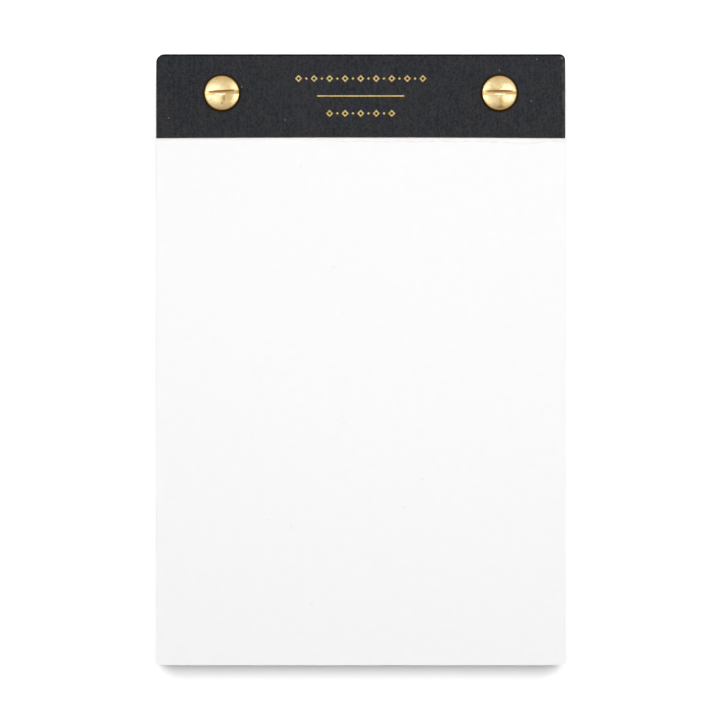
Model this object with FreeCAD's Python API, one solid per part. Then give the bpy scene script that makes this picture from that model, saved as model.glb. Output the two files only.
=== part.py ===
"""A top-bound note pad, modelled at full size in millimetres.

Plain white sheets lie on a chipboard backing, cut to one outline with four small rounded
corners. A cloth-faced board strip clamps them along the head. Two slotted brass binding
screws go down through the whole stack into threaded brass posts, whose flat heads bear on
the backing. One sheet has been torn off against the strip and has left its ragged stub
under it. A small foil ornament is stamped into the cloth between the screws.

The pad lies face up. In its frame +X is the reader's right, +Y is towards the bound head
and +Z comes out of the front. The origin is under the middle of the pad, level with the
undersides of the two post heads, which stand proud of the backing.
"""

import FreeCAD, Part
import math
import os

# The outline that the sheets, the backing and the strip share, seen from the front
pad_width = 108.0
pad_length = 161.5
top_left_radius = 2.2
top_right_radius = 1.5
bottom_left_radius = 1.1
bottom_right_radius = 1.3

# The backing and the sheets
backing_thickness = 1.4
sheet_thickness = 0.105
sheet_count = 60
sheets_in_a_lift = 8
lift_stagger = 0.08

# The binding strip: a raw board core with cloth on its face
strip_depth = 22.1
strip_edge_bow = 0.2
strip_board_thickness = 1.0
strip_cloth_thickness = 0.3
cloth_edge_round = 0.12

# The stub of the torn sheet: how far it shows below the strip, and how that varies
tear_least = 0.5
tear_gain = 0.45
tear_gain_from = 0.3
tear_gain_to = 0.5
tear_bulge = 0.6
tear_bulge_place = 0.89
tear_bulge_spread = 0.05
tear_ripple = 0.09
tear_ripple_waves = (11.0, 19.0, 31.0)
tear_point_count = 48

# Where the two screws stand
screw_side_inset = 17.4
screw_head_inset = 10.3

# The binding screw
head_diameter = 9.5
screw_rim_height = 0.4
screw_dome_rise = 1.0
screw_rim_round = 0.45
screw_slot_width = 1.25
screw_slot_depth = 0.95
left_slot_turn = 3.5
right_slot_turn = 0.8
shank_diameter = 4.1
shank_tip_chamfer = 0.4
shank_root_chamfer = 0.2

# The post that the screw runs into
post_head_thickness = 1.1
post_head_chamfer = 0.3
post_slot_width = 1.2
post_slot_depth = 0.45
left_post_slot_turn = 24.0
right_post_slot_turn = -37.0
barrel_diameter = 5.0
bore_mouth_chamfer = 0.25
bore_floor = 1.5

# Clearances
post_hole_clearance = 0.25
thread_clearance = 0.05
barrel_end_gap = 0.6
shank_tip_gap = 1.0

# The stamped ornament: a long frieze, a fine rule and a short frieze
stamp_depth = 0.07
foil_thickness = 0.04
lozenge_width = 1.9
lozenge_height = 1.9
lozenge_line = 0.36
bead_size = 0.75
frieze_pitch = 4.1
long_frieze_count = 9
short_frieze_count = 5
row_spacing = 4.6
rule_length = 23.0
rule_thickness = 0.36

# Levels, counted up from the undersides of the post heads
backing_base = post_head_thickness
sheets_base = backing_base + backing_thickness
stub_base = sheets_base + sheet_count * sheet_thickness
strip_base = stub_base + sheet_thickness
cloth_base = strip_base + strip_board_thickness
strip_top = cloth_base + strip_cloth_thickness
stamp_floor = strip_top - stamp_depth

# Places that follow from the sizes
half_width = pad_width / 2
half_length = pad_length / 2
head_radius = head_diameter / 2
strip_edge_y = half_length - strip_depth
strip_middle_y = half_length - strip_depth / 2
screw_y = half_length - screw_head_inset
left_screw_x = -half_width + screw_side_inset
right_screw_x = half_width - screw_side_inset
post_hole_diameter = barrel_diameter + 2 * post_hole_clearance
barrel_top = strip_top - barrel_end_gap
bore_end = backing_base + bore_floor
shank_end = bore_end + shank_tip_gap
beyond = head_diameter

UP = FreeCAD.Vector(0, 0, 1)


def point(x, y, z=0.0):
    """A point in the pad's frame."""
    return FreeCAD.Vector(x, y, z)


def line(start, end):
    """A straight edge."""
    return Part.LineSegment(start, end).toShape()


def pad_slab(base, thickness, inset=0.0):
    """A slab of the pad's outline, its four upright corners each rounded to their own radius."""
    x = half_width - inset
    y = half_length - inset
    slab = Part.makeBox(2 * x, 2 * y, thickness, point(-x, -y, base))
    corners = (
        (-x, y, top_left_radius),
        (x, y, top_right_radius),
        (-x, -y, bottom_left_radius),
        (x, -y, bottom_right_radius),
    )
    for corner_x, corner_y, radius in corners:
        upright = nearest_edge(slab, point(corner_x, corner_y, base + thickness / 2))
        slab = slab.makeFillet(radius, [upright])
    return slab


def nearest_edge(solid, place):
    """The edge of a solid whose middle is nearest to a place."""
    return min(solid.Edges, key=lambda edge: edge.CenterOfMass.distanceToPoint(place))


def drilled(solid, base, top):
    """The solid with the two holes that the posts go through."""
    for x in (left_screw_x, right_screw_x):
        centre = point(x, screw_y, base - beyond)
        depth = top - base + 2 * beyond
        solid = solid.cut(Part.makeCylinder(post_hole_diameter / 2, depth, centre, UP))
    return solid


def zone_above(lower_edge, base, top):
    """The space above a lower edge that runs from left to right, as far as the head of the pad."""
    left = lower_edge.Vertexes[0].Point
    right = lower_edge.Vertexes[-1].Point
    left_out = point(-half_width - beyond, left.y, left.z)
    right_out = point(half_width + beyond, right.y, right.z)
    head = half_length + beyond
    left_head = point(left_out.x, head, left.z)
    right_head = point(right_out.x, head, right.z)
    border = [lower_edge]
    border.append(line(right, right_out))
    border.append(line(right_out, right_head))
    border.append(line(right_head, left_head))
    border.append(line(left_head, left_out))
    border.append(line(left_out, left))
    return Part.Face(Part.Wire(border)).extrude(UP * (top - base))


def strip_layer(base, thickness):
    """One layer of the binding strip: the head of the pad above a slightly bowed cut."""
    left = point(-half_width, strip_edge_y, base)
    middle = point(0, strip_edge_y + strip_edge_bow, base)
    right = point(half_width, strip_edge_y, base)
    cut = Part.Arc(left, middle, right).toShape()
    layer = pad_slab(base, thickness).common(zone_above(cut, base, base + thickness))
    return drilled(layer, base, base + thickness)


def tear_overhang(share):
    """How far the stub shows below the strip, at a share of the way from left to right."""
    rise = (share - tear_gain_from) / (tear_gain_to - tear_gain_from)
    rise = min(1.0, max(0.0, rise))
    overhang = tear_least + tear_gain * rise * rise * (3 - 2 * rise)
    overhang += tear_bulge * math.exp(-(((share - tear_bulge_place) / tear_bulge_spread) ** 2))
    for number, waves in enumerate(tear_ripple_waves, start=1):
        overhang += tear_ripple / number * math.sin(2 * math.pi * waves * share + number)
    return overhang


def torn_stub():
    """What is left of a torn sheet: its bound end, with a ragged lower edge."""
    points = []
    for number in range(tear_point_count + 1):
        share = number / tear_point_count
        x = -half_width + share * pad_width
        points.append(point(x, strip_edge_y - tear_overhang(share), stub_base))
    tear = Part.BSplineCurve()
    tear.interpolate(points)
    top = stub_base + sheet_thickness
    stub = pad_slab(stub_base, sheet_thickness).common(zone_above(tear.toShape(), stub_base, top))
    return drilled(stub, stub_base, top)


def paper_block():
    """The sheets, as one block whose edges step in and out from one lift of sheets to the next."""
    block = None
    base = sheets_base
    left = sheet_count
    lift_number = 0
    golden_step = (math.sqrt(5) - 1) / 2
    while left > 0:
        sheets = min(sheets_in_a_lift, left)
        left -= sheets
        inset = 0.0 if left == 0 else lift_stagger * (lift_number * golden_step % 1.0)
        lift = pad_slab(base, sheets * sheet_thickness, inset)
        block = lift if block is None else block.fuse(lift)
        base += sheets * sheet_thickness
        lift_number += 1
    return drilled(block.removeSplitter(), sheets_base, stub_base)


def backing_board():
    """The chipboard behind the sheets."""
    return drilled(pad_slab(backing_base, backing_thickness), backing_base, sheets_base)


def lozenge(x, y, width, height):
    """A flat upright lozenge about a centre, on the floor of the stamp."""
    corners = [
        point(x + width / 2, y, stamp_floor),
        point(x, y + height / 2, stamp_floor),
        point(x - width / 2, y, stamp_floor),
        point(x, y - height / 2, stamp_floor),
    ]
    return Part.Face(Part.makePolygon(corners + corners[:1]))


def open_lozenge(x, y):
    """A lozenge drawn as a line of even thickness."""
    side = math.hypot(lozenge_width, lozenge_height)
    shrink = 2 * lozenge_line * side / (lozenge_width * lozenge_height)
    inner = lozenge(x, y, lozenge_width * (1 - shrink), lozenge_height * (1 - shrink))
    return lozenge(x, y, lozenge_width, lozenge_height).cut(inner)


def frieze(y, count):
    """A row of open lozenges with a small solid bead between each two."""
    shapes = []
    for number in range(count):
        x = (number - (count - 1) / 2) * frieze_pitch
        shapes.append(open_lozenge(x, y))
        if number < count - 1:
            shapes.append(lozenge(x + frieze_pitch / 2, y, bead_size, bead_size))
    return shapes


def rule(y):
    """A fine straight rule."""
    corner = point(-rule_length / 2, y - rule_thickness / 2, stamp_floor)
    return Part.makePlane(rule_length, rule_thickness, corner)


def stamp_shapes():
    """The flat shapes of the ornament, about the middle of the strip."""
    shapes = frieze(strip_middle_y + row_spacing, long_frieze_count)
    shapes.append(rule(strip_middle_y))
    shapes.extend(frieze(strip_middle_y - row_spacing, short_frieze_count))
    return shapes


def foil_ornament():
    """The foil, which lies on the floor of each pressed shape."""
    return Part.Compound([shape.extrude(UP * foil_thickness) for shape in stamp_shapes()])


def strip_cloth():
    """The cloth face of the strip, with soft upper edges and the ornament pressed into it."""
    cloth = strip_layer(cloth_base, strip_cloth_thickness)
    face = max(cloth.Faces, key=lambda candidate: candidate.CenterOfMass.z)
    cloth = cloth.makeFillet(cloth_edge_round, face.OuterWire.Edges)
    return cloth.cut(Part.Compound([shape.extrude(UP * 2 * stamp_depth) for shape in stamp_shapes()]))


def slot_cutter(x, floor, height, width, turn):
    """A bar that saws a driver slot right across a head, turned by some degrees."""
    length = head_diameter + 2 * beyond
    bar = Part.makeBox(length, width, height, point(x - length / 2, screw_y - width / 2, floor))
    bar.rotate(point(x, screw_y, floor), UP, turn)
    return bar


def on_arc(centre, radius, angle):
    """A point on an upright arc, at an angle up from +X."""
    return centre + point(radius * math.cos(angle), 0, radius * math.sin(angle))


def arc(centre, radius, start, end):
    """An upright arc between two angles up from +X."""
    middle = on_arc(centre, radius, (start + end) / 2)
    return Part.Arc(on_arc(centre, radius, start), middle, on_arc(centre, radius, end)).toShape()


def turned(edges, x):
    """A solid turned about a screw's axis from the closed half section that the edges make."""
    half_section = Part.Face(Part.Wire(edges))
    return half_section.revolve(point(x, screw_y), UP, 360)


def binding_screw(x, slot_turn):
    """A screw with a low domed, slotted head and a shank at its thread's outer diameter."""
    crown = strip_top + screw_rim_height + screw_dome_rise
    dome_radius = (head_radius**2 + screw_dome_rise**2) / (2 * screw_dome_rise)
    dome_centre = point(x, screw_y, crown - dome_radius)
    to_shoulder = dome_radius - screw_rim_round
    shoulder_angle = math.acos((head_radius - screw_rim_round) / to_shoulder)
    shoulder_centre = on_arc(dome_centre, to_shoulder, shoulder_angle)
    shank_radius = shank_diameter / 2
    outline = [
        point(x, screw_y, crown),
        point(x, screw_y, shank_end),
        point(x + shank_radius - shank_tip_chamfer, screw_y, shank_end),
        point(x + shank_radius, screw_y, shank_end + shank_tip_chamfer),
        point(x + shank_radius, screw_y, strip_top - shank_root_chamfer),
        point(x + shank_radius + shank_root_chamfer, screw_y, strip_top),
        point(x + head_radius, screw_y, strip_top),
        on_arc(shoulder_centre, screw_rim_round, 0),
    ]
    edges = Part.makePolygon(outline).Edges
    edges.append(arc(shoulder_centre, screw_rim_round, 0, shoulder_angle))
    edges.append(arc(dome_centre, dome_radius, shoulder_angle, math.pi / 2))
    slot_floor = crown - screw_slot_depth
    slot = slot_cutter(x, slot_floor, 2 * screw_slot_depth, screw_slot_width, slot_turn)
    return turned(edges, x).cut(slot)


def screw_post(x, slot_turn):
    """A post with a flat, slotted head behind the backing and a blind bore for the screw."""
    barrel_radius = barrel_diameter / 2
    bore_radius = shank_diameter / 2 + thread_clearance
    outline = [
        point(x, screw_y, 0),
        point(x + head_radius - post_head_chamfer, screw_y, 0),
        point(x + head_radius, screw_y, post_head_chamfer),
        point(x + head_radius, screw_y, post_head_thickness),
        point(x + barrel_radius, screw_y, post_head_thickness),
        point(x + barrel_radius, screw_y, barrel_top),
        point(x + bore_radius + bore_mouth_chamfer, screw_y, barrel_top),
        point(x + bore_radius, screw_y, barrel_top - bore_mouth_chamfer),
        point(x + bore_radius, screw_y, bore_end),
        point(x, screw_y, bore_end),
    ]
    edges = Part.makePolygon(outline + outline[:1]).Edges
    slot = slot_cutter(x, -post_slot_depth, 2 * post_slot_depth, post_slot_width, slot_turn)
    return turned(edges, x).cut(slot)


def pieces():
    """Every piece of the pad, by name."""
    return {
        "backing_board": backing_board(),
        "paper_block": paper_block(),
        "torn_stub": torn_stub(),
        "strip_board": strip_layer(strip_base, strip_board_thickness),
        "strip_cloth": strip_cloth(),
        "foil_ornament": foil_ornament(),
        "left_screw": binding_screw(left_screw_x, left_slot_turn),
        "right_screw": binding_screw(right_screw_x, right_slot_turn),
        "left_post": screw_post(left_screw_x, left_post_slot_turn),
        "right_post": screw_post(right_screw_x, right_post_slot_turn),
    }


os.makedirs("parts", exist_ok=True)
for name, shape in pieces().items():
    shape.exportStep(f"parts/{name}.step")
    print(name, "solids", len(shape.Solids), "volume", round(shape.Volume, 2), "valid", shape.isValid())
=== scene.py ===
"""A screw-bound note pad: the looks built round its CAD frame, and the studio it stands in."""

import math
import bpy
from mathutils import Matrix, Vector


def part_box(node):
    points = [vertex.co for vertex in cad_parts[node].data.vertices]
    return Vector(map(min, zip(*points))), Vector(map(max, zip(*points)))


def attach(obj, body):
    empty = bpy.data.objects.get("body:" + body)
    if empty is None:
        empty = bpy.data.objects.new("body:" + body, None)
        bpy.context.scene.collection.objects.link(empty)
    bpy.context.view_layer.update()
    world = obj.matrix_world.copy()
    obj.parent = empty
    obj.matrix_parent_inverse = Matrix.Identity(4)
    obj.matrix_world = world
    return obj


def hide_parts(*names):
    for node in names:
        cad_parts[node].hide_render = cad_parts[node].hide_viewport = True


bl_info = {
    "name": "Screw-bound Note Pad",
    "version": (1, 0, 0),
    "blender": (4, 5, 0),
    "location": "3D Viewport > Sidebar > Note Pad",
    "description": "Builds the sheets, strip and binding screws of a note pad and its studio",
    "category": "Object",
}

import bmesh
import bpy
from mathutils import Vector, noise

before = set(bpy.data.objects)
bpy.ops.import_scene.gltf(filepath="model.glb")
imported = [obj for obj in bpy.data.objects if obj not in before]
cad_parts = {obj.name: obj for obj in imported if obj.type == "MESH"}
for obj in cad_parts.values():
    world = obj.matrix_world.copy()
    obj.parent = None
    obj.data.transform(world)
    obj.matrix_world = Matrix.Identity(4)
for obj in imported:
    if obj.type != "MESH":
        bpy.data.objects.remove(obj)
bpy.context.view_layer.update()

MM = 0.001
BODY = "root"
BOARD_LOW, BOARD_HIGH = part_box("backing_board")
BLOCK_LOW, BLOCK_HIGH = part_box("paper_block")
STUB_LOW, STUB_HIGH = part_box("torn_stub")
STRIP_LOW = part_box("strip_board")[0]
CLOTH_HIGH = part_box("strip_cloth")[1]
SCREW_BOXES = [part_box("left_screw"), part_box("right_screw")]
POST_LOW, POST_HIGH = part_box("left_post")
SCREW_PLACES = [(low + high) / 2 for low, high in SCREW_BOXES]
HALF_WIDTH = BOARD_HIGH.x
HALF_LENGTH = BOARD_HIGH.y

# Small grey marks on the sheets and pale ones on the cloth, by their places in millimetres.
SHEET_MARKS = (
    (-15.8, 51.3), (-7.1, 24.6), (-4.4, 12.7), (-4.4, -16.9), (16.2, -31.5),
    (11.5, -38.9), (-24.8, -42.3), (-18.4, -44.2), (-12.9, -64.3),
)
CLOTH_MARKS = (
    (-50.7, 63.9), (-31.4, 72.1), (-20.0, 63.4), (36.6, 76.4), (45.0, 68.3), (46.5, 79.4),
)

# How finely round shapes are drawn, and the angles under which faces are shaded smooth.
CORNER_STEPS = 8
HOLE_STEPS = 40
DOME_STEPS = 18
SHOULDER_STEPS = 8
SCREW_STEPS = 128
POST_STEPS = 96
SHEET_SMOOTH = math.radians(20)
METAL_SMOOTH = math.radians(35)

# Softened and broken edges, on sheets as a share of their thickness, and a saw's reach in heads.
BOARD_SOFTNESS = 0.06 * MM
SHEET_SOFTNESS = 0.12
STUB_SOFTNESS = 0.1
HEAD_EDGE = 0.05 * MM
POST_SLOT_EDGE = 0.04 * MM
UNDERCUT = 0.2 * MM
SHANK_TIP = 0.4 * MM
BORE_MOUTH = 0.25 * MM
POST_EDGE = 0.3 * MM
SAW_REACH = 1.5

# The torn edge: how far it shows in millimetres, and how its stub is drawn across and along.
TEAR_LEAST = 0.5
TEAR_MORE = 0.45
TONGUE = 0.6
TONGUE_PLACE = 0.89
TONGUE_WIDTH = 0.05
TEAR_WAVES = (11, 19, 31)
WAVE_HEIGHT = 0.09
STUB_COLUMNS = 720
STUB_SHARES = (0.0, 0.5, 0.72, 0.84, 0.92, 0.97, 1.0)
THIN_FROM = 0.72
UNDER_STRIP = 2 * MM

# Millimetres between the turned rings on the metal.
RING_PITCH = 0.28

# The studio, in metres: each lamp's place, aim and sizes, and each flag's lower and upper edge.
OVERHEAD_LAMP = ((0.03, 0.068, 0.8), (0.03, 0.068, 0.0), (0.15, 0.15))
SIDE_LAMP = ((0.37, 0.14, 0.5), (0.036, 0.07, 0.01), (0.19, 0.15))
FLOOR_LAMP = ((0.0, 1.545 - HALF_LENGTH, 2.9), (0.0, -HALF_LENGTH, 0.0), (5.16, 3.64))
HEAD_FLAG = (0.5, 1.3)
FOOT_FLAG = (-1.0, -0.17)
FLAG_HALF_WIDTH = 0.45
FLAG_HEIGHT = 0.5
FLOOR_REACH = 3.0
FLOOR_GAP = 0.02 * MM
FLOOR_SEEN = 0.95
FLOOR_BOUNCE = 0.64
SENSOR = 36.0


def tone(red, green, blue):
    """A colour given as it looks on a screen, 0 to 255, for a linear colour socket."""
    linear = []
    for value in (red, green, blue):
        share = value / 255
        linear.append(share / 12.92 if share <= 0.04045 else ((share + 0.055) / 1.055) ** 2.4)
    return (*linear, 1.0)


def length(name, default, description):
    """A length setting, given in millimetres and kept in metres."""
    return bpy.props.FloatProperty(
        name=name,
        description=description,
        default=default * MM,
        precision=5,
        subtype="DISTANCE",
        unit="LENGTH",
    )


def angle(name, default, description):
    """An angle setting, given in degrees."""
    return bpy.props.FloatProperty(
        name=name, description=description, default=math.radians(default), subtype="ANGLE", unit="ROTATION"
    )


def colour(name, default, bearer):
    """A colour setting, with what bears the colour."""
    text = "Colour of " + bearer
    return bpy.props.FloatVectorProperty(
        name=name, description=text, default=default, size=4, min=0.0, max=1.0, subtype="COLOR"
    )


def factor(name, default, description, highest=1.0):
    """A plain number setting."""
    return bpy.props.FloatProperty(
        name=name, description=description, default=default, min=0.0, max=highest
    )


def whole(name, default, description):
    """A whole number setting."""
    return bpy.props.IntProperty(name=name, description=description, default=default, min=1, max=120)


class PaperSettings(bpy.types.PropertyGroup):
    """The backing board, the block of sheets and the torn stub."""

    top_left_radius: length("Top left radius", 2.2, "Rounding of the pad's top left corner")
    top_right_radius: length("Top right radius", 1.5, "Rounding of the pad's top right corner")
    foot_left_radius: length("Foot left radius", 1.1, "Rounding of the pad's lower left corner")
    foot_right_radius: length("Foot right radius", 1.3, "Rounding of the pad's lower right corner")
    hole: length("Punched hole", 5.5, "Diameter of the holes that the posts pass through")
    sheet_count: whole("Sheets", 60, "Sheets in the block")
    lift_size: whole("Sheets in a lift", 8, "Sheets trimmed together")
    lift_play: length("Lift play", 0.05, "How far one lift of sheets lies beside the next")
    sheet_play: length("Sheet play", 0.02, "How far one sheet lies beside the next")
    sheet_turn: angle("Sheet turn", 0.015, "How far one sheet is turned against the next")
    paper: colour("Paper", tone(252, 252, 252), "the sheets")
    fleck: colour("Paper fleck", tone(222, 222, 221), "the specks and marks on the sheets")
    # A painted shadow colour, which darkens the torn stub along its torn edge.
    tear_edge_shadow: colour("Torn edge shadow", tone(229, 227, 223), "the fibres along the torn edge")
    chipboard: colour("Chipboard", tone(171, 160, 142), "the backing board")
    tear_fibre: length("Tear fibre", 0.09, "How far the fibres of the torn edge reach")


class StripSettings(bpy.types.PropertyGroup):
    """The cloth-faced strip over the bound end."""

    cloth: colour("Cloth", tone(35, 36, 38), "the strip's cloth")
    cloth_light: colour("Cloth light", tone(56, 56, 58), "the cloth's raised threads")
    cloth_worn: colour("Worn cloth", tone(80, 81, 70), "the cloth where its edge is rubbed")
    board: colour("Board", tone(150, 112, 90), "the board's raw edge under the cloth")
    foil: colour("Foil", tone(214, 188, 122), "the pressed ornament's foil")
    thread_pitch: length("Thread pitch", 0.42, "Distance between two threads of the cloth")


class BindingSettings(bpy.types.PropertyGroup):
    """The slotted screws and their posts."""

    head: length("Head", 9.5, "Diameter of the screw and post heads")
    rim: length("Rim height", 0.4, "Height of the screw head's upright rim")
    dome: length("Dome rise", 1.0, "Rise of the screw head above its rim")
    shoulder: length("Shoulder", 0.45, "Rounding between the rim and the dome")
    shank: length("Shank", 4.1, "Diameter of the screw's shank")
    slot_width: length("Slot width", 1.25, "Width of the screws' driver slots")
    post_slot_width: length("Post slot width", 1.2, "Width of the posts' driver slots")
    slot_depth: length("Slot depth", 0.95, "Depth of the screw's slot below its crown")
    left_turn: angle("Left slot turn", 3.5, "Turn of the left screw's slot")
    right_turn: angle("Right slot turn", 0.8, "Turn of the right screw's slot")
    post_head: length("Post head", 1.1, "Thickness of the post's head")
    post_slot: length("Post slot depth", 0.45, "Depth of the post's slot")
    barrel: length("Barrel", 5.0, "Diameter of the post's barrel")
    bore: length("Bore", 4.2, "Diameter of the post's bore")
    bore_floor: length("Bore floor", 1.5, "Metal left between the bore and the post's head")
    left_post_turn: angle("Left post turn", 24.0, "Turn of the left post's slot")
    right_post_turn: angle("Right post turn", -37.0, "Turn of the right post's slot")
    brass: colour("Brass", tone(239, 218, 166), "clean brass")
    # Brass rubbed bright in random spots, and the colour of a painted highlight on each slot's floor.
    bright_brass_and_highlight: colour("Bright brass", tone(250, 238, 206), "brass that is rubbed bright")
    tarnish: colour("Tarnish", tone(186, 148, 82), "tarnished brass")
    stain: colour("Stain", tone(140, 112, 46), "the dark spots on the heads")
    # A colour of stain and painted shade, which darkens each slot along its upper wall and each head towards
    # its rim.
    slot_stain_and_shade: colour("Slot stain and shade", tone(176, 132, 58), "the stain along a slot's wall")
    # A painted shade colour, for the dark ring at the heads' rims.
    rim_shade: colour("Rim shade", tone(72, 50, 9), "the dirt round the heads' rims")


class StudioSettings(bpy.types.PropertyGroup):
    """The camera, the lamps and the floor."""

    lens: bpy.props.FloatProperty(name="Lens", description="Focal length in mm", default=100.0, min=10.0)
    span: length("Span", 190.5, "Width that the picture covers at the height of the top sheet")
    off_x: length("Off centre X", -0.185, "Where the camera stands beside the pad's middle")
    off_y: length("Off centre Y", 0.02, "Where the camera stands above or below the pad's middle")
    ambient: factor("Ambient", 0.12, "Light from all round", 4.0)
    overhead: factor("Overhead", 0.683, "Light of the overhead lamp on the pad", 4.0)
    side: factor("Sides", 0.12, "Light of each side lamp on the pad", 4.0)
    head_flag: factor("Head flag", 0.68, "Brightness of the card at the head that the metal mirrors")
    foot_flag: factor("Foot flag", 0.46, "Brightness of the card at the foot that the metal mirrors")
    floor_key: factor("Floor key", 2.09, "Light of the large lamp that lights only the floor", 4.0)


SETTINGS = {
    "pad_paper": PaperSettings,
    "pad_strip": StripSettings,
    "pad_binding": BindingSettings,
    "pad_studio": StudioSettings,
}


def node(tree, kind, links=None, **fields):
    """Adds a node, sets its fields, and sets or links its inputs by name or number."""
    made = tree.nodes.new(kind)
    for name, value in fields.items():
        setattr(made, name, value)
    for name, value in (links or {}).items():
        if isinstance(value, bpy.types.NodeSocket):
            tree.links.new(value, made.inputs[name])
        else:
            made.inputs[name].default_value = value
    return made


def bare_material(name):
    """A new material with no nodes, and its node tree."""
    material = bpy.data.materials.new(name)
    material.use_nodes = True
    material.node_tree.nodes.clear()
    return material, material.node_tree


def finish_tree(name, numbers):
    """A new material, its tree and its shader, whose plain numbers are set."""
    material, tree = bare_material(name)
    shader = node(tree, "ShaderNodeBsdfPrincipled", numbers)
    node(tree, "ShaderNodeOutputMaterial", {"Surface": shader.outputs["BSDF"]})
    return material, tree, shader


def sums(tree, operation, first, second=0.0):
    """The output of a Math node."""
    return node(tree, "ShaderNodeMath", {0: first, 1: second}, operation=operation).outputs[0]


def times(tree, first, second):
    """The product of two values."""
    return sums(tree, "MULTIPLY", first, second)


def plus(tree, first, second):
    """The sum of two values."""
    return sums(tree, "ADD", first, second)


def minus(tree, first, second):
    """The difference of two values."""
    return sums(tree, "SUBTRACT", first, second)


def vectors(tree, operation, first, second=(0.0, 0.0, 0.0)):
    """The outputs of a Vector Math node: a vector and a value."""
    return node(tree, "ShaderNodeVectorMath", {0: first, 1: second}, operation=operation).outputs


def axes_of(tree, place):
    """The three coordinates of a place."""
    return node(tree, "ShaderNodeSeparateXYZ", {0: place}).outputs


def blend(tree, share, first, second, mode="MIX"):
    """The colour between two colours at a share."""
    mixer = node(tree, "ShaderNodeMix", {"Factor": share}, data_type="RGBA", blend_type=mode)
    for socket, value in ((mixer.inputs[6], first), (mixer.inputs[7], second)):
        if isinstance(value, bpy.types.NodeSocket):
            tree.links.new(value, socket)
        else:
            socket.default_value = value
    return mixer.outputs[2]


def between(tree, value, low, high, first=0.0, second=1.0, smooth=True):
    """A value carried from one range to another and kept inside it."""
    kind = "SMOOTHSTEP" if smooth else "LINEAR"
    links = {"Value": value, "From Min": low, "From Max": high, "To Min": first, "To Max": second}
    return node(tree, "ShaderNodeMapRange", links, interpolation_type=kind).outputs[0]


def tinted(tree, base, other, value, low, high, share=1.0):
    """A colour carried towards another, up to a share, as a value goes from low to high."""
    return blend(tree, between(tree, value, low, high, 0.0, share), base, other)


def own_place(tree):
    """Object coordinates in millimetres."""
    place = node(tree, "ShaderNodeTexCoord").outputs["Object"]
    return node(tree, "ShaderNodeVectorMath", {0: place, 3: 1 / MM}, operation="SCALE").outputs[0]


def stretched(tree, place, scale):
    """A place multiplied by a scale for each axis."""
    return vectors(tree, "MULTIPLY", place, scale)[0]


def mottle(tree, place, scale, detail=3.0, rough=0.55, shift=0.0):
    """The plain value of a noise, with its scale in cells to a millimetre."""
    if shift:
        place = vectors(tree, "ADD", place, (shift, -shift, shift))[0]
    links = {"Vector": place, "Scale": scale, "Detail": detail, "Roughness": rough}
    return node(tree, "ShaderNodeTexNoise", links).outputs[0]


def specks(tree, place, spacing, radius, share, flat=False):
    """1 inside sparse round specks, in a share of evenly spaced cells. Flat ones lie in a plane."""
    links = {"Vector": place, "Scale": 1 / spacing}
    cells = node(tree, "ShaderNodeTexVoronoi", links, voronoi_dimensions="2D" if flat else "3D")
    inside = between(tree, cells.outputs["Distance"], radius / spacing, radius * 0.4 / spacing)
    red = node(tree, "ShaderNodeSeparateColor", {0: cells.outputs["Color"]}).outputs[0]
    return times(tree, inside, sums(tree, "LESS_THAN", red, share))


def marked(tree, base, place, marks, height, reach, mark):
    """A colour with round marks. Reach is their outer and inner radius and their share."""
    outer, inner, share = reach
    for x, y in marks:
        away = vectors(tree, "DISTANCE", place, (x, y, height / MM))[1]
        base = tinted(tree, base, mark, away, outer, inner, share)
    return base


def finished(tree, shader, base, relief, strength, depth):
    """Gives a shader its colour, and its relief with a depth in millimetres."""
    links = {"Height": relief, "Strength": strength, "Distance": depth * MM}
    tree.links.new(base, shader.inputs["Base Color"])
    tree.links.new(node(tree, "ShaderNodeBump", links).outputs[0], shader.inputs["Normal"])


def paper_finish(settings, name, torn=False):
    """White paper, faintly clouded, with a few grey specks and marks, and a painted shadow along a torn edge.
    """
    material, tree, shader = finish_tree(name, {"Roughness": 0.82, "Specular IOR Level": 0.25})
    place = own_place(tree)
    clouds = mottle(tree, place, 0.35, 4.0, 0.6)
    clouded = tuple(value * 0.985 for value in settings.paper[:3]) + (1.0,)
    base = tinted(tree, settings.paper, clouded, clouds, 0.3, 0.7)
    fibres = mottle(tree, stretched(tree, place, (1.0, 2.6, 1.0)), 2.2, 2.0, 0.6, 7.0)
    base = tinted(tree, base, settings.fleck, fibres, 0.62, 0.8, 0.12)
    dots = specks(tree, place, 18.0, 0.6, 0.25, flat=True)
    base = blend(tree, times(tree, dots, 0.1), base, settings.fleck)
    base = marked(tree, base, place, SHEET_MARKS, BLOCK_HIGH.z, (0.65, 0.1, 0.27), settings.fleck)
    if torn:
        # A painted shadow along the torn edge, from the stub's tear_shade attribute.
        shade = node(tree, "ShaderNodeAttribute", attribute_name="tear_shade").outputs["Fac"]
        base = blend(tree, shade, base, settings.tear_edge_shadow)
    tooth = plus(tree, mottle(tree, place, 6.0, 3.0, 0.6, 3.0), fibres)
    finished(tree, shader, base, tooth, 0.25, 0.02)
    return material


def chipboard_finish(settings):
    """Grey-brown pressed board with pale and dark fibre flecks."""
    material, tree, shader = finish_tree("chipboard", {"Roughness": 0.9, "Specular IOR Level": 0.2})
    place = own_place(tree)
    clouds = mottle(tree, place, 0.12, 4.0, 0.6)
    base = tinted(tree, settings.chipboard, tone(164, 153, 135), clouds, 0.3, 0.7)
    fibres = mottle(tree, stretched(tree, place, (0.7, 2.4, 1.6)), 1.3, 5.0, 0.7)
    base = tinted(tree, base, tone(196, 187, 170), fibres, 0.52, 0.68, 0.75)
    base = tinted(tree, base, tone(120, 106, 88), fibres, 0.46, 0.3, 0.8)
    base = blend(tree, specks(tree, place, 2.6, 0.3, 0.35), base, tone(92, 78, 64))
    pale = specks(tree, stretched(tree, place, (1.0, 1.0, 3.0)), 3.4, 0.32, 0.3)
    base = blend(tree, pale, base, tone(218, 211, 196))
    finished(tree, shader, base, fibres, 0.5, 0.08)
    return material


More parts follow.
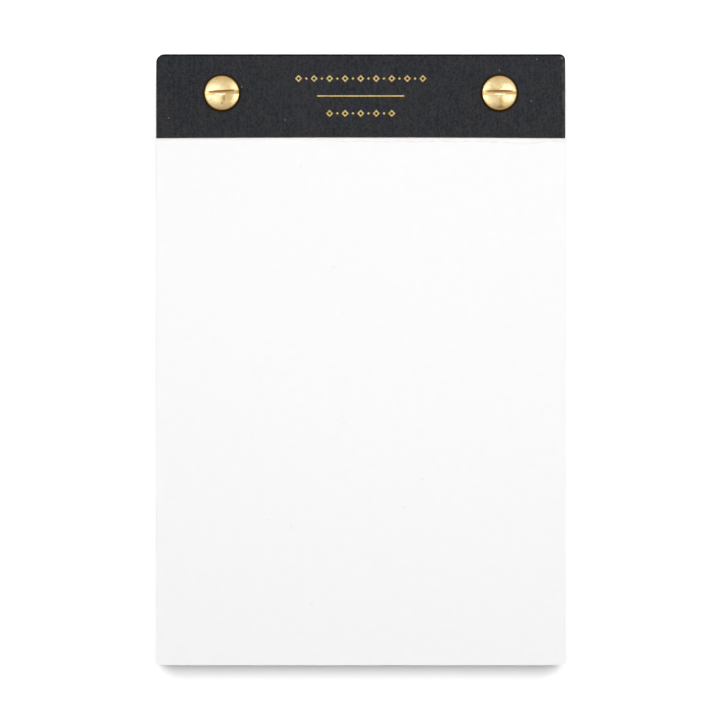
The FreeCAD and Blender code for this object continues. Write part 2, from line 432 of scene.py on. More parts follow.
def board_finish(settings):
    """The raw edge of the strip's board, in thin brown plies."""
    numbers = {"Roughness": 0.92, "Specular IOR Level": 0.15}
    material, tree, shader = finish_tree("strip_board_edge", numbers)
    place = own_place(tree)
    plies = mottle(tree, stretched(tree, place, (0.35, 0.35, 5.0)), 1.4, 4.0, 0.65)
    base = tinted(tree, settings.board, tone(184, 148, 122), plies, 0.35, 0.65)
    dirt = mottle(tree, place, 1.1, 3.0, 0.6, 5.0)
    base = tinted(tree, base, tone(96, 70, 54), dirt, 0.5, 0.75, 0.6)
    finished(tree, shader, base, plies, 0.6, 0.1)
    return material


def threads(tree, place, pitch):
    """The height of a plain weave: two sets of threads that pass over and under each other."""
    axes = axes_of(tree, place)
    along = times(tree, mottle(tree, place, 0.5, 2.0, 0.5, 2.0), 1.6)
    across, down = (
        sums(tree, "SINE", plus(tree, times(tree, axes[number], math.pi / pitch), along)) for number in (0, 1)
    )
    over = between(tree, times(tree, across, down), -0.4, 0.4)
    warp = times(tree, sums(tree, "ABSOLUTE", across), over)
    weft = times(tree, sums(tree, "ABSOLUTE", down), minus(tree, 1.0, over))
    return plus(tree, warp, weft)


def cloth_finish(settings):
    """Charcoal book cloth: a fine weave, uneven dye, upright streaks, rubbed edges and pale marks, with
    painted shade along its top edge and round the screw heads.
    """
    numbers = {"Roughness": 0.88, "Specular IOR Level": 0.12, "Sheen Weight": 0.03}
    material, tree, shader = finish_tree("strip_cloth", numbers)
    place = own_place(tree)
    axes = axes_of(tree, place)
    side = HALF_WIDTH / MM
    head = HALF_LENGTH / MM
    weave = threads(tree, place, settings.thread_pitch / MM)
    grain = mottle(tree, place, 1.6, 4.0, 0.75)
    slubs = mottle(tree, stretched(tree, place, (1.0, 0.4, 1.0)), 1.5, 0.0, 0.5, 11.0)
    streaks = mottle(tree, stretched(tree, place, (1.0, 0.06, 1.0)), 1.3, 3.0, 0.6, 4.0)
    clouds = mottle(tree, place, 0.06, 0.0, 0.5, 15.0)
    light = times(tree, weave, 0.06)
    for part, share in ((grain, 0.64), (slubs, 0.13), (streaks, 0.15), (clouds, 0.04)):
        light = plus(tree, light, times(tree, part, share))
    base = tinted(tree, settings.cloth, settings.cloth_light, light, 0.36, 0.63)
    dye = between(tree, mottle(tree, place, 0.22, 2.0, 0.5, 9.0), 0.35, 0.65)
    base = blend(tree, dye, base, tone(238, 246, 255), "MULTIPLY")
    face = CLOTH_HIGH.z
    corner = [(side - 0.95, head - 1.1)]
    base = marked(tree, base, place, corner, face, (0.36, 0.12, 0.8), tone(120, 119, 117))
    edge = between(tree, axes[0], side - 1.2, side - 0.3)
    rubbed = mottle(tree, stretched(tree, place, (1.4, 0.35, 1.0)), 0.9, 4.0, 0.7, 6.0)
    worn = times(tree, edge, times(tree, between(tree, rubbed, 0.42, 0.62), 0.85))
    base = blend(tree, worn, base, settings.cloth_worn)
    # Painted shade: a near-black band along the cloth's top edge.
    base = tinted(tree, base, tone(13, 13, 14), axes[1], head - 0.62, head - 0.36, 0.92)
    base = marked(tree, base, place, CLOTH_MARKS, face, (0.34, 0.06, 0.6), tone(122, 121, 119))
    # Painted shade: a dark brown ring on the cloth round each screw head, standing in for its contact shadow.
    screws = [(screw.x / MM, screw.y / MM) for screw in SCREW_PLACES]
    base = marked(tree, base, place, screws, face, (5.35, 4.85, 0.88), tone(40, 27, 5))
    finished(tree, shader, base, plus(tree, times(tree, weave, 0.6), grain), 0.5, 0.05)
    return material


def foil_finish(settings):
    """Pressed gold foil, slightly broken by the cloth under it."""
    material, tree, shader = finish_tree("gold_foil", {"Metallic": 0.9})
    place = own_place(tree)
    wear = mottle(tree, place, 2.2, 4.0, 0.7)
    base = tinted(tree, settings.foil, tone(166, 134, 76), wear, 0.4, 0.72)
    base = tinted(tree, base, tone(246, 228, 170), wear, 0.34, 0.22)
    tree.links.new(between(tree, wear, 0.3, 0.7, 0.3, 0.5), shader.inputs["Roughness"])
    finished(tree, shader, base, wear, 0.35, 0.04)
    return material


def patch(tree, axes, middle, reach, ragged):
    """1 in the middle of an oval patch and 0 outside it, with an edge bent by a ragged value."""
    parts = []
    for number in (0, 1):
        offset = sums(tree, "DIVIDE", minus(tree, axes[number], middle[number]), reach[number])
        parts.append(sums(tree, "POWER", sums(tree, "ABSOLUTE", offset), 2.0))
    away = plus(tree, plus(tree, parts[0], parts[1]), times(tree, ragged, 1.6))
    return between(tree, away, 1.9, 0.7)


def brass_finish(settings):
    """Turned brass, bright in places, with tarnish, stained slots, a painted highlight and painted shade in
    the slots, and painted shade round the rims.
    """
    material, tree, shader = finish_tree("turned_brass", {"Metallic": 1.0, "Anisotropic": 0.8})
    place = own_place(tree)
    plan = node(tree, "ShaderNodeUVMap", uv_map="plan").outputs[0]
    axes = axes_of(tree, plan)
    radius = vectors(tree, "LENGTH", plan)[1]
    bloom = mottle(tree, place, 0.5, 4.0, 0.65)
    fine = mottle(tree, place, 2.6, 3.0, 0.7, 2.0)
    tarnish, stain = settings.tarnish, settings.stain
    base = tinted(tree, settings.brass, tarnish, bloom, 0.5, 0.78, 0.6)
    base = tinted(tree, base, tarnish, fine, 0.56, 0.78, 0.4)
    bright = mottle(tree, place, 1.5, 4.0, 0.7, 21.0)
    base = tinted(tree, base, settings.bright_brass_and_highlight, bright, 0.48, 0.66, 0.5)
    pad_x = axes_of(tree, place)[0]
    on_left = sums(tree, "LESS_THAN", pad_x, 0.0)
    on_right = sums(tree, "GREATER_THAN", pad_x, 0.0)
    dull_places = (
        ((1.3, -1.7), (2.2, 2.4), on_left, 0.6, tarnish),
        ((1.5, 2.3), (2.0, 1.8), on_left, 0.35, tarnish),
        ((-0.5, -2.2), (1.9, 2.4), on_right, 0.35, tarnish),
        ((0.3, -2.2), (0.65, 2.2), on_right, 0.65, tarnish),
        ((-0.7, 1.9), (1.7, 2.0), on_right, 0.3, tarnish),
        ((0.5, -1.5), (0.5, 1.2), on_left, 0.65, stain),
        ((-0.05, -2.85), (0.4, 0.5), on_left, 0.55, stain),
        ((0.2, -3.7), (1.3, 0.45), on_right, 0.5, stain),
    )
    for middle, reach, side, share, dull in dull_places:
        spot = times(tree, patch(tree, axes, middle, reach, fine), side)
        base = blend(tree, times(tree, spot, share), base, dull)
    slot_reach = settings.slot_width / 2 / MM + 0.02
    along = sums(tree, "ABSOLUTE", axes[0])
    inside = sums(tree, "LESS_THAN", sums(tree, "ABSOLUTE", axes[1]), slot_reach)
    # A painted highlight with rubbed-bright brass on the lower side of each slot's floor, near its middle.
    worn = between(tree, axes[1], 0.08, -0.12)
    rubbed_highlight_middle = between(tree, on_right, 0.0, 1.0, -0.45, 0.15)
    from_rubbed_highlight = sums(tree, "ABSOLUTE", minus(tree, axes[0], rubbed_highlight_middle))
    rubbed_and_highlight = times(tree, times(tree, worn, between(tree, from_rubbed_highlight, 1.9, 0.9)), inside)
    rubbed_and_highlight = times(tree, rubbed_and_highlight, between(tree, fine, 0.3, 0.55, 0.35, 1.0))
    # Painted shade in the tarnish colour on the slot floor next to its upper wall.
    upper_wall_shade = times(tree, inside, between(tree, axes[1], 0.3, 0.1))
    base = blend(tree, times(tree, upper_wall_shade, 0.55), base, tarnish)
    base = blend(tree, rubbed_and_highlight, base, settings.bright_brass_and_highlight)
    # Painted shade with stain along the slot's upper wall, fading towards the slot's ends.
    shade = times(tree, between(tree, axes[1], 0.0, 0.3), between(tree, along, 3.9, 2.9, 0.15, 1.0))
    base = blend(tree, times(tree, shade, inside), base, settings.slot_stain_and_shade)
    head = settings.head / 2 / MM
    # Painted shade round the heads' rims: darker towards the edge, first in the slot colour, then near
    # black-brown at the very rim.
    base = tinted(tree, base, settings.slot_stain_and_shade, radius, head - 0.75, head - 0.3, 0.5)
    base = tinted(tree, base, settings.rim_shade, radius, head - 0.38, head - 0.18)
    tangent = node(tree, "ShaderNodeTangent", direction_type="UV_MAP", uv_map="turning")
    tree.links.new(tangent.outputs[0], shader.inputs["Tangent"])
    tree.links.new(between(tree, bloom, 0.3, 0.7, 0.26, 0.4), shader.inputs["Roughness"])
    rings = sums(tree, "SINE", times(tree, radius, 2 * math.pi / RING_PITCH))
    finished(tree, shader, base, plus(tree, times(tree, rings, 0.25), fine), 0.15, 0.03)
    return material


def scene_object(name, data):
    """An object of the given data, added to the scene."""
    made = bpy.data.objects.new(name, data)
    bpy.context.scene.collection.objects.link(made)
    return made


def new_piece(name, mesh, replaced):
    """Makes a finished mesh a piece of the pad, in place of its CAD nodes."""
    piece = scene_object(name, mesh)
    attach(piece, BODY)
    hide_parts(*replaced)


def mesh_of(name, shape):
    """The mesh of an edited shape, which is given up."""
    mesh = bpy.data.meshes.new(name)
    shape.to_mesh(mesh)
    shape.free()
    return mesh


def plain_mesh(name, holder, *helpers):
    """The holder's shape with its modifiers, as a mesh of its own. The holder and its helpers go."""
    bpy.context.view_layer.update()
    evaluated = holder.evaluated_get(bpy.context.evaluated_depsgraph_get())
    mesh = bpy.data.meshes.new_from_object(evaluated)
    mesh.name = name
    for used in (holder, *helpers):
        bpy.data.objects.remove(used)
    return mesh


def smoothed(mesh, under):
    """A mesh whose faces are shaded smooth where they meet under an angle."""
    mesh.shade_smooth()
    mesh.set_sharp_from_angle(angle=under)
    return mesh


def mend(mesh):
    """Merges doubled points and turns the faces outwards."""
    shape = bmesh.new()
    shape.from_mesh(mesh)
    bmesh.ops.remove_doubles(shape, verts=shape.verts, dist=1e-7)
    bmesh.ops.recalc_face_normals(shape, faces=shape.faces)
    shape.to_mesh(mesh)
    shape.free()
    return mesh


def pad_outline(paper, foot_y, round_foot=True):
    """The pad's outline down to a lower edge, as flat points, corner by corner."""
    corners = [
        (HALF_WIDTH, HALF_LENGTH, paper.top_right_radius, 0),
        (-HALF_WIDTH, HALF_LENGTH, paper.top_left_radius, 90),
        (-HALF_WIDTH, foot_y, paper.foot_left_radius if round_foot else 0.0, 180),
        (HALF_WIDTH, foot_y, paper.foot_right_radius if round_foot else 0.0, 270),
    ]
    points = []
    for x, y, radius, start in corners:
        middle_x = x - math.copysign(radius, x)
        middle_y = y - radius if start < 180 else y + radius
        steps = CORNER_STEPS if radius else 0
        for step in range(steps + 1):
            turn = math.radians(start + (90 * step / steps if steps else 45))
            points.append((middle_x + radius * math.cos(turn), middle_y + radius * math.sin(turn)))
    return points


def ring(x, y, radius, count):
    """A circle as flat points."""
    turns = [2 * math.pi * step / count for step in range(count)]
    return [(x + radius * math.cos(turn), y + radius * math.sin(turn)) for turn in turns]


def punched_slab(name, outline, paper, base, thickness, softness):
    """A flat sheet of an outline, punched for the posts, with slightly soft edges."""
    curve = bpy.data.curves.new(name, "CURVE")
    curve.dimensions = "2D"
    curve.fill_mode = "BOTH"
    curve.extrude = thickness / 2 - softness
    curve.bevel_depth = softness
    curve.bevel_resolution = 1
    curve.offset = -softness
    holes = [ring(place.x, place.y, paper.hole / 2, HOLE_STEPS) for place in SCREW_PLACES]
    for points in [outline, *holes]:
        spline = curve.splines.new("POLY")
        spline.points.add(len(points) - 1)
        for point, (x, y) in zip(spline.points, points):
            point.co = (x, y, 0.0, 1.0)
        spline.use_cyclic_u = True
    mesh = plain_mesh(name, scene_object(name, curve))
    for vertex in mesh.vertices:
        vertex.co.z += base + thickness / 2
    return smoothed(mend(mesh), SHEET_SMOOTH)


def turned_mesh(name, profile, count):
    """A mesh turned about the Z axis from radius and height pairs, the first and last on the axis."""
    shape = bmesh.new()
    rings = []
    for radius, height in profile:
        places = ring(0, 0, radius, count) if radius else [(0, 0)]
        rings.append([shape.verts.new((x, y, height)) for x, y in places])
    for upper, lower in zip(rings, rings[1:]):
        for step in range(count):
            after = (step + 1) % count
            corners = [upper[step % len(upper)], upper[after % len(upper)]]
            corners += [lower[after % len(lower)], lower[step % len(lower)]]
            shape.faces.new(dict.fromkeys(corners))
    return mend(mesh_of(name, shape))


def bar_mesh(name, bar_length, width, low, high):
    """A plain bar along X, used to saw a slot."""
    shape = bmesh.new()
    bmesh.ops.create_cube(shape, size=1.0)
    for vertex in shape.verts:
        vertex.co.x *= bar_length
        vertex.co.y *= width
        vertex.co.z = high if vertex.co.z > 0 else low
    return mesh_of(name, shape)


def slotted(name, blank, saw, edge):
    """A turned blank with its driver slot sawn across and its edges broken, about the Z axis."""
    holder = scene_object(name, blank)
    cutter = scene_object(name + "_saw", saw)
    cut = holder.modifiers.new("Slot", "BOOLEAN")
    cut.operation = "DIFFERENCE"
    cut.solver = "EXACT"
    cut.object = cutter
    soft = holder.modifiers.new("Broken edges", "BEVEL")
    soft.width = edge
    soft.segments = 2
    soft.limit_method = "ANGLE"
    soft.angle_limit = METAL_SMOOTH
    mesh = smoothed(plain_mesh(name, holder, cutter), METAL_SMOOTH)
    plan_maps(mesh)
    return mesh


def plan_maps(mesh):
    """Two maps for a turned piece: its plan in millimetres, and its turning as angle and radius."""
    plan = mesh.uv_layers.new(name="plan")
    turning = mesh.uv_layers.new(name="turning")
    for face in mesh.polygons:
        middle = math.atan2(face.center.y, face.center.x)
        for corner in face.loop_indices:
            place = mesh.vertices[mesh.loops[corner].vertex_index].co
            turn = math.atan2(place.y, place.x) if place.xy.length > 1e-6 else middle
            if turn - middle > math.pi:
                turn -= 2 * math.pi
            elif middle - turn > math.pi:
                turn += 2 * math.pi
            plan.uv[corner].vector = (place.x / MM, place.y / MM)
            turning.uv[corner].vector = (turn / (2 * math.pi), place.xy.length / MM)


def arc_profile(centre, radius, start, end, steps):
    """Points on an upright arc about a centre on the half section, between two angles."""
    points = []
    for step in range(steps + 1):
        turn = start + (end - start) * step / steps
        points.append((centre[0] + radius * math.cos(turn), centre[1] + radius * math.sin(turn)))
    return points


def growing_tree(name, inputs):
    """A tree for Geometry Nodes: the tree, its named inputs' identifiers, and the inputs' own sockets."""
    tree = bpy.data.node_groups.new(name, "GeometryNodeTree")
    keys = {}
    for label, kind, default in inputs:
        made = tree.interface.new_socket(name=label, in_out="INPUT", socket_type="NodeSocket" + kind)
        if default is not None:
            made.default_value = default
        keys[label] = made.identifier
    tree.interface.new_socket(name="Geometry", in_out="OUTPUT", socket_type="NodeSocketGeometry")
    return tree, keys, node(tree, "NodeGroupInput").outputs


def end_growth(tree, given, links):
    """Ends a tree: copies are set on its points, made real and given their finish."""
    copies = node(tree, "GeometryNodeInstanceOnPoints", links)
    real = node(tree, "GeometryNodeRealizeInstances", {"Geometry": copies.outputs[0]})
    links = {"Geometry": real.outputs[0], "Material": given["Finish"]}
    finish = node(tree, "GeometryNodeSetMaterial", links)
    node(tree, "NodeGroupOutput", {"Geometry": finish.outputs[0]})


def grown(name, tree, keys, pattern, values):
    """The plain mesh that a tree grows from a pattern, which goes. Its inputs are set by identifier."""
    holder = scene_object(name, bpy.data.meshes.new(name))
    modifier = holder.modifiers.new("Grown", "NODES")
    modifier.node_group = tree
    for label, value in {"Pattern": pattern, **values}.items():
        modifier[keys[label]] = value
    return plain_mesh(name, holder, pattern)


def page_tree():
    """Nodes that stack copies of one sheet, each a little beside the one below it."""
    tree, keys, given = growing_tree("page_stack", (
        ("Pattern", "Object", None),
        ("Sheets", "Int", 60),
        ("Sheet pitch", "Float", 0.1 * MM),
        ("Sheets in a lift", "Int", 8),
        ("Lift play", "Vector", None),
        ("Sheet play", "Vector", None),
        ("Sheet turn", "Vector", None),
        ("Seed", "Int", 5),
        ("Finish", "Material", None),
    ))
    index = node(tree, "GeometryNodeInputIndex").outputs[0]
    rise = node(tree, "ShaderNodeCombineXYZ", {2: given["Sheet pitch"]}).outputs[0]
    line = node(tree, "GeometryNodeMeshLine", {"Count": given["Sheets"], "Offset": rise}, mode="OFFSET")
    lift = sums(tree, "FLOOR", sums(tree, "DIVIDE", index, given["Sheets in a lift"]))

    def scatter(reach, key):
        """A vector of chance within a reach either way, one for each key."""
        least = vectors(tree, "MULTIPLY", reach, (-1.0, -1.0, -1.0))[0]
        links = {0: least, 1: reach, "Seed": given["Seed"]}
        chance = node(tree, "FunctionNodeRandomValue", links, data_type="FLOAT_VECTOR")
        tree.links.new(key, chance.inputs["ID"])
        return chance.outputs[0]

    aside = vectors(tree, "ADD", scatter(given["Lift play"], lift), scatter(given["Sheet play"], index))[0]
    moved = node(tree, "GeometryNodeSetPosition", {"Geometry": line.outputs[0], "Offset": aside})
    sheet = node(tree, "GeometryNodeObjectInfo", {"Object": given["Pattern"]}).outputs["Geometry"]
    turn = scatter(given["Sheet turn"], index)
    end_growth(tree, given, {"Points": moved.outputs[0], "Instance": sheet, "Rotation": turn})
    return tree, keys


def pair_tree():
    """Nodes that set one turned piece at two places, each turned about its axis."""
    tree, keys, given = growing_tree("binding_pair", (
        ("Pattern", "Object", None),
        ("Left place", "Vector", None),
        ("Right place", "Vector", None),
        ("Left slot turn", "Float", 0.0),
        ("Right slot turn", "Float", 0.0),
        ("Finish", "Material", None),
    ))
    links = {"Count": 2, "Start Location": given["Left place"], "Offset": given["Right place"]}
    line = node(tree, "GeometryNodeMeshLine", links, mode="END_POINTS")
    index = node(tree, "GeometryNodeInputIndex").outputs[0]
    first = given["Left slot turn"]
    turn = plus(tree, times(tree, minus(tree, given["Right slot turn"], first), index), first)
    turned = node(tree, "ShaderNodeCombineXYZ", {2: turn}).outputs[0]
    blank = node(tree, "GeometryNodeObjectInfo", {"Object": given["Pattern"]}).outputs["Geometry"]
    end_growth(tree, given, {"Points": line.outputs[0], "Instance": blank, "Rotation": turned})
    return tree, keys


def grown_pair(name, mesh, turns, finish):
    """One turned piece at both screws' places, each with its own turn, as a single mesh."""
    left, right = ((place.x, place.y, 0.0) for place in SCREW_PLACES)
    values = {
        "Left place": left,
        "Right place": right,
        "Left slot turn": turns[0],
        "Right slot turn": turns[1],
        "Finish": finish,
    }
    return grown(name, *pair_tree(), scene_object(name + "_pattern", mesh), values)


class BuildBacking(bpy.types.Operator):
    """Make the chipboard backing"""

    bl_idname = "note_pad.backing"
    bl_label = "Backing board"

    def execute(self, context):
        paper = context.scene.pad_paper
        outline = pad_outline(paper, -HALF_LENGTH)
        thickness = BOARD_HIGH.z - BOARD_LOW.z
        name = "backing_board_dressed"
        mesh = punched_slab(name, outline, paper, BOARD_LOW.z, thickness, BOARD_SOFTNESS)
        mesh.materials.append(chipboard_finish(paper))
        new_piece(name, mesh, ["backing_board"])
        return {"FINISHED"}


class BuildPages(bpy.types.Operator):
    """Stack the sheets"""

    bl_idname = "note_pad.pages"
    bl_label = "Sheets"

    def execute(self, context):
        paper = context.scene.pad_paper
        outline = pad_outline(paper, -HALF_LENGTH)
        pitch = (BLOCK_HIGH.z - BLOCK_LOW.z) / paper.sheet_count
        sheet = punched_slab("one_sheet", outline, paper, BLOCK_LOW.z, pitch, pitch * SHEET_SOFTNESS)
        values = {
            "Sheets": paper.sheet_count,
            "Sheet pitch": pitch,
            "Sheets in a lift": paper.lift_size,
            "Lift play": (paper.lift_play, paper.lift_play, 0.0),
            "Sheet play": (paper.sheet_play, paper.sheet_play, 0.0),
            "Sheet turn": (0.0, 0.0, paper.sheet_turn),
            "Finish": paper_finish(paper, "writing_paper"),
        }
        mesh = grown("page_stack", *page_tree(), scene_object("one_sheet", sheet), values)
        new_piece("page_stack", mesh, ["paper_block"])
        return {"FINISHED"}


def tear_rise(share):
    """0 over the left part of the pad's width and 1 over the right part, where the stub shows more."""
    rise = min(1.0, max(0.0, (share - 0.3) / 0.2))
    return rise * rise * (3 - 2 * rise)


def tear_line(share, paper):
    """How far the torn stub shows below the strip, in metres, at a share of the pad's width."""
    overhang = TEAR_LEAST + TEAR_MORE * tear_rise(share)
    overhang += TONGUE * math.exp(-(((share - TONGUE_PLACE) / TONGUE_WIDTH) ** 2))
    for number, waves in enumerate(TEAR_WAVES, start=1):
        overhang += WAVE_HEIGHT / number * math.sin(2 * math.pi * waves * share + number)
    fibres = noise.noise((share * 220, 0.0, 0.0)) + 0.6 * noise.noise((share * 640, 3.0, 0.0))
    return overhang * MM + fibres * paper.tear_fibre


def skin(shape, first, second):
    """Adds the faces between two rows of points that run side by side."""
    for number in range(len(first) - 1):
        shape.faces.new((first[number], second[number], second[number + 1], first[number + 1]))


class BuildStub(bpy.types.Operator):
    """Make the torn stub under the strip"""

    bl_idname = "note_pad.stub"
    bl_label = "Torn stub"

    def execute(self, context):
        paper = context.scene.pad_paper
        thickness = STUB_HIGH.z - STUB_LOW.z
        foot = STRIP_LOW.y
        seam = foot + UNDER_STRIP
        outline = pad_outline(paper, seam, False)
        mesh = punched_slab("stub", outline, paper, STUB_LOW.z, thickness, thickness * STUB_SOFTNESS)
        shape = bmesh.new()
        shape.from_mesh(mesh)
        shades = shape.verts.layers.float.new("tear_shade")
        upper, lower = [], []
        for column in range(STUB_COLUMNS + 1):
            share = column / STUB_COLUMNS
            x = -HALF_WIDTH + 2 * HALF_WIDTH * share
            edge = foot - tear_line(share, paper)
            loose = tear_rise(share) * max(0.0, 0.3 + noise.noise((share * 14, 5.0, 0.0)))
            above, below = [], []
            for part in STUB_SHARES:
                y = seam + (edge - seam) * part
                thin = max(0.0, (part - THIN_FROM) / (1 - THIN_FROM))
                lift = thickness * thin * thin * 0.8 * loose
                # The painted shadow along the torn edge: patchy, and strongest on the right where the stub
                # shows more.
                patchy = 0.55 + 0.9 * noise.noise((share * 60, part * 3, 9.0))
                shade = max(0.0, thin**3 * (0.12 + 0.88 * tear_rise(share)) * patchy)
                for points, height in ((above, thickness * (1 - 0.85 * thin)), (below, 0.0)):
                    point = shape.verts.new((x, y, STUB_LOW.z + lift + height))
                    point[shades] = shade
                    points.append(point)
            upper.append(above)
            lower.append(below)
        for layer in (upper, lower):
            for left, right in zip(layer, layer[1:]):
                skin(shape, left, right)
        for row in (0, -1):
            skin(shape, [points[row] for points in upper], [points[row] for points in lower])
        for column in (0, -1):
            skin(shape, upper[column], lower[column])
        bmesh.ops.recalc_face_normals(shape, faces=shape.faces)
        shape.to_mesh(mesh)
        shape.free()
        mesh.materials.append(paper_finish(paper, "torn_paper", torn=True))
        new_piece("torn_stub_dressed", mesh, ["torn_stub"])
        return {"FINISHED"}


class DressStrip(bpy.types.Operator):
    """Give the strip, its cloth and its foil ornament their finishes"""

    bl_idname = "note_pad.strip"
    bl_label = "Binding strip"

    def execute(self, context):
        strip = context.scene.pad_strip
        finishes = {
            "strip_board": board_finish(strip),
            "strip_cloth": cloth_finish(strip),
            "foil_ornament": foil_finish(strip),
        }
        for name, material in finishes.items():
            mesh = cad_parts[name].data
            mesh.materials.clear()
            mesh.materials.append(material)
        return {"FINISHED"}


class BuildScrews(bpy.types.Operator):
    """Turn and slot the two screws"""

    bl_idname = "note_pad.screws"
    bl_label = "Screws"

    def execute(self, context):
        binding = context.scene.pad_binding
        seat = CLOTH_HIGH.z
        foot = SCREW_BOXES[0][0].z
        crown = seat + binding.rim + binding.dome
        head = binding.head / 2
        shank = binding.shank / 2
        dome_radius = (head**2 + binding.dome**2) / (2 * binding.dome)
        dome_centre = crown - dome_radius
        to_shoulder = dome_radius - binding.shoulder
        turn = math.acos((head - binding.shoulder) / to_shoulder)
        shoulder = (to_shoulder * math.cos(turn), dome_centre + to_shoulder * math.sin(turn))
        profile = [
            (0.0, crown),
            *arc_profile((0.0, dome_centre), dome_radius, math.pi / 2 - 0.02, turn, DOME_STEPS),
            *arc_profile(shoulder, binding.shoulder, turn, 0.0, SHOULDER_STEPS)[1:],
            (head, seat + HEAD_EDGE),
            (head - HEAD_EDGE, seat),
            (shank + UNDERCUT, seat),
            (shank, seat - UNDERCUT),
            (shank, foot + SHANK_TIP),
            (shank - SHANK_TIP, foot),
            (0.0, foot),
        ]
        blank = turned_mesh("screw_blank", profile, SCREW_STEPS)
        slot_floor = crown - binding.slot_depth
        saw = bar_mesh("screw_saw", binding.head * SAW_REACH, binding.slot_width, slot_floor, crown + MM)
        screw = slotted("screw", blank, saw, HEAD_EDGE)
        turns = (binding.left_turn, binding.right_turn)
        mesh = grown_pair("binding_screws", screw, turns, brass_finish(binding))
        new_piece("binding_screws", mesh, ["left_screw", "right_screw"])
        return {"FINISHED"}


class BuildPosts(bpy.types.Operator):
    """Turn, bore and slot the two posts"""

    bl_idname = "note_pad.posts"
    bl_label = "Posts"

    def execute(self, context):
        binding = context.scene.pad_binding
        foot = POST_LOW.z
        top = POST_HIGH.z
        head = binding.head / 2
        barrel = binding.barrel / 2
        bore = binding.bore / 2
        shelf = foot + binding.post_head
        profile = [
            (0.0, shelf + binding.bore_floor),
            (bore, shelf + binding.bore_floor),
            (bore, top - BORE_MOUTH),
            (bore + BORE_MOUTH, top),
            (barrel, top),
            (barrel, shelf),
            (head - HEAD_EDGE, shelf),
            (head, shelf - HEAD_EDGE),
            (head, foot + POST_EDGE),
            (head - POST_EDGE, foot),
            (head * 0.6, foot),
            (0.0, foot),
        ]
        blank = turned_mesh("post_blank", profile, POST_STEPS)
        slot_floor = foot + binding.post_slot
        saw = bar_mesh("post_saw", binding.head * SAW_REACH, binding.post_slot_width, foot - MM, slot_floor)
        post = slotted("post", blank, saw, POST_SLOT_EDGE)
        turns = (binding.left_post_turn, binding.right_post_turn)
        mesh = grown_pair("binding_posts", post, turns, bpy.data.materials["turned_brass"])
        new_piece("binding_posts", mesh, ["left_post", "right_post"])
        return {"FINISHED"}


def lamp(name, place, aim, sizes, light, group, mirrored=False):
    """A soft lamp for a group. A small one gives a sheet at its aim this share of a full white's light."""
    data = bpy.data.lights.new(name, "AREA")
    data.shape = "RECTANGLE"
    data.size, data.size_y = sizes
    away = Vector(aim) - Vector(place)
    slant = -away.normalized().z
    data.energy = light * math.pi**2 * away.length_squared / slant
    made = scene_object(name, data)
    made.location = place
    made.rotation_mode = "QUATERNION"
    made.rotation_quaternion = away.to_track_quat("-Z", "Y")
    made.visible_camera = False
    made.visible_glossy = mirrored
    made.light_linking.receiver_collection = group


def card(name, corners, material):
    """A flat card of the studio, from its corners in order."""
    shape = bmesh.new()
    shape.faces.new([shape.verts.new(corner) for corner in corners])
    mesh = mesh_of(name, shape)
    mesh.materials.append(material)
    made = scene_object(name, mesh)
    return made


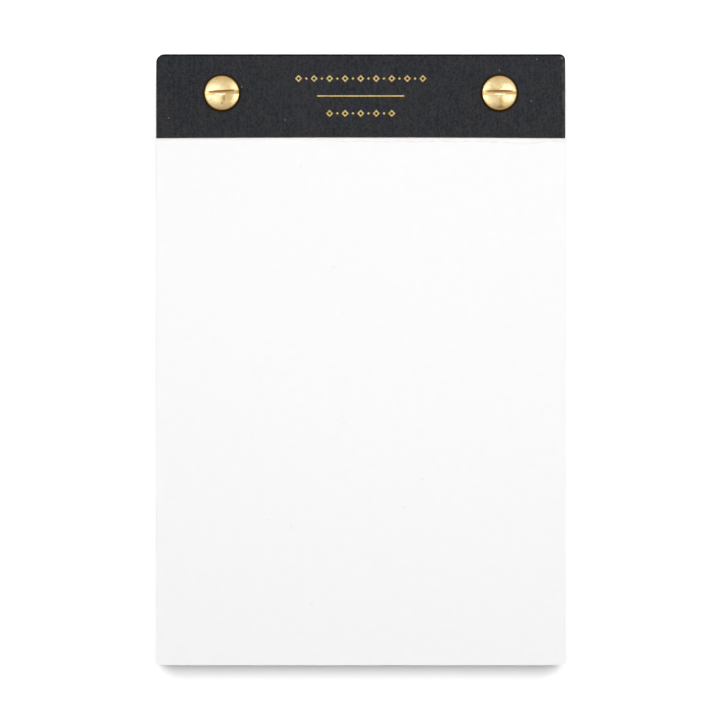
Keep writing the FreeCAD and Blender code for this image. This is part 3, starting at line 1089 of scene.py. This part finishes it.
class SetStage(bpy.types.Operator):
    """Set the floor, the lamps and the camera"""

    bl_idname = "note_pad.stage"
    bl_label = "Studio"

    def execute(self, context):
        studio = context.scene.pad_studio
        self.set_world(context.scene, studio)
        floor = self.lay_floor()
        self.hang_lamps(studio, floor)
        self.set_camera(context.scene, studio)
        context.scene.view_settings.view_transform = "Standard"
        return {"FINISHED"}

    def set_world(self, scene, studio):
        """White to the camera and in reflections, and a plain ambient light otherwise."""
        world = bpy.data.worlds.new("studio")
        scene.world = world
        world.use_nodes = True
        tree = world.node_tree
        tree.nodes.clear()
        path = node(tree, "ShaderNodeLightPath").outputs
        seen = sums(tree, "MAXIMUM", path["Is Camera Ray"], path["Is Glossy Ray"])
        seen = sums(tree, "MAXIMUM", seen, path["Is Transmission Ray"])
        strength = between(tree, seen, 0.0, 1.0, studio.ambient, 1.0, smooth=False)
        light = node(tree, "ShaderNodeBackground", {"Color": (1, 1, 1, 1), "Strength": strength})
        node(tree, "ShaderNodeOutputWorld", {"Surface": light.outputs[0]})

    def lay_floor(self):
        """A white floor through what the pad rests on: its post heads and the foot of its backing."""
        material, tree = bare_material("studio_floor")
        path = node(tree, "ShaderNodeLightPath").outputs
        albedo = between(tree, path["Is Camera Ray"], 0.0, 1.0, FLOOR_BOUNCE, FLOOR_SEEN, smooth=False)
        matt = node(tree, "ShaderNodeBsdfDiffuse", {"Color": albedo})
        white = node(tree, "ShaderNodeEmission", {"Strength": 1.0})
        mirror = sums(tree, "MAXIMUM", path["Is Glossy Ray"], path["Is Transmission Ray"])
        mixed = node(tree, "ShaderNodeMixShader", {0: mirror, 1: matt.outputs[0], 2: white.outputs[0]})
        node(tree, "ShaderNodeOutputMaterial", {"Surface": mixed.outputs[0]})
        rest_y = POST_LOW.y + POST_EDGE
        slope = (BOARD_LOW.z - POST_LOW.z) / (BOARD_LOW.y - rest_y)
        reach = FLOOR_REACH
        corners = []
        for x, y in ((-reach, -reach), (reach, -reach), (reach, reach), (-reach, reach)):
            corners.append((x, y, (y - rest_y) * slope - FLOOR_GAP))
        return card("studio_floor", corners, material)

    def hang_lamps(self, studio, floor):
        """A small lamp over the strip, one at each side, and a large one that lights only the floor."""
        lit, unlit = (bpy.data.collections.new(name) for name in ("lit_floor", "unlit_floor"))
        for group in (lit, unlit):
            group.objects.link(floor)
        unlit.collection_objects[0].light_linking.link_state = "EXCLUDE"
        lamp("overhead_lamp", *OVERHEAD_LAMP, studio.overhead, unlit)
        place, aim, sizes = SIDE_LAMP
        for name, side in (("left_lamp", -1), ("right_lamp", 1)):
            ends = [(side * x, y, z) for x, y, z in (place, aim)]
            lamp(name, *ends, sizes, studio.side, unlit, mirrored=True)
        lamp("floor_lamp", *FLOOR_LAMP, studio.floor_key, lit)
        self.hang_flag("head_flag", *HEAD_FLAG, studio.head_flag)
        self.hang_flag("foot_flag", *FOOT_FLAG, studio.foot_flag)

    def hang_flag(self, name, low_y, high_y, brightness):
        """A dim card that only the metal mirrors, as a studio hangs to shade a polished head."""
        material, tree = bare_material(name)
        glow = node(tree, "ShaderNodeEmission", {"Color": tone(255, 226, 182), "Strength": brightness})
        node(tree, "ShaderNodeOutputMaterial", {"Surface": glow.outputs[0]})
        wide = FLAG_HALF_WIDTH
        plan = ((-wide, low_y), (-wide, high_y), (wide, high_y), (wide, low_y))
        flag = card(name, [(x, y, FLAG_HEIGHT) for x, y in plan], material)
        for ray in ("camera", "diffuse", "transmission", "shadow"):
            setattr(flag, "visible_" + ray, False)

    def set_camera(self, scene, studio):
        """A long lens straight above the pad."""
        data = bpy.data.cameras.new("camera")
        data.lens = studio.lens
        data.sensor_width = SENSOR
        data.clip_start = 0.01
        data.clip_end = 10.0
        camera = scene_object("camera", data)
        away = studio.span * studio.lens / SENSOR
        camera.location = (studio.off_x, studio.off_y, BLOCK_HIGH.z + away)
        scene.camera = camera


STEPS = (BuildBacking, BuildPages, BuildStub, DressStrip, BuildScrews, BuildPosts, SetStage)


class NotePadPanel(bpy.types.Panel):
    """Lists the pad's pieces and their settings"""

    bl_idname = "VIEW3D_PT_note_pad"
    bl_label = "Note Pad"
    bl_space_type = "VIEW_3D"
    bl_region_type = "UI"
    bl_category = "Note Pad"

    def draw(self, context):
        for step in STEPS:
            self.layout.operator(step.bl_idname)
        for name, group in SETTINGS.items():
            box = self.layout.box()
            settings = getattr(context.scene, name)
            for key in group.__annotations__:
                box.prop(settings, key)


CLASSES = (*SETTINGS.values(), *STEPS, NotePadPanel)


def register():
    """Registers the classes and hangs the settings on the scene."""
    for item in CLASSES:
        bpy.utils.register_class(item)
    for name, group in SETTINGS.items():
        setattr(bpy.types.Scene, name, bpy.props.PointerProperty(type=group))


def unregister():
    """Takes the settings and the classes away again."""
    for name in SETTINGS:
        delattr(bpy.types.Scene, name)
    for item in reversed(CLASSES):
        bpy.utils.unregister_class(item)


def main():
    """Builds the pad and its studio."""
    register()
    for step in STEPS:
        group, name = step.bl_idname.split(".")
        getattr(getattr(bpy.ops, group), name)()


if __name__ == "__main__":
    main()
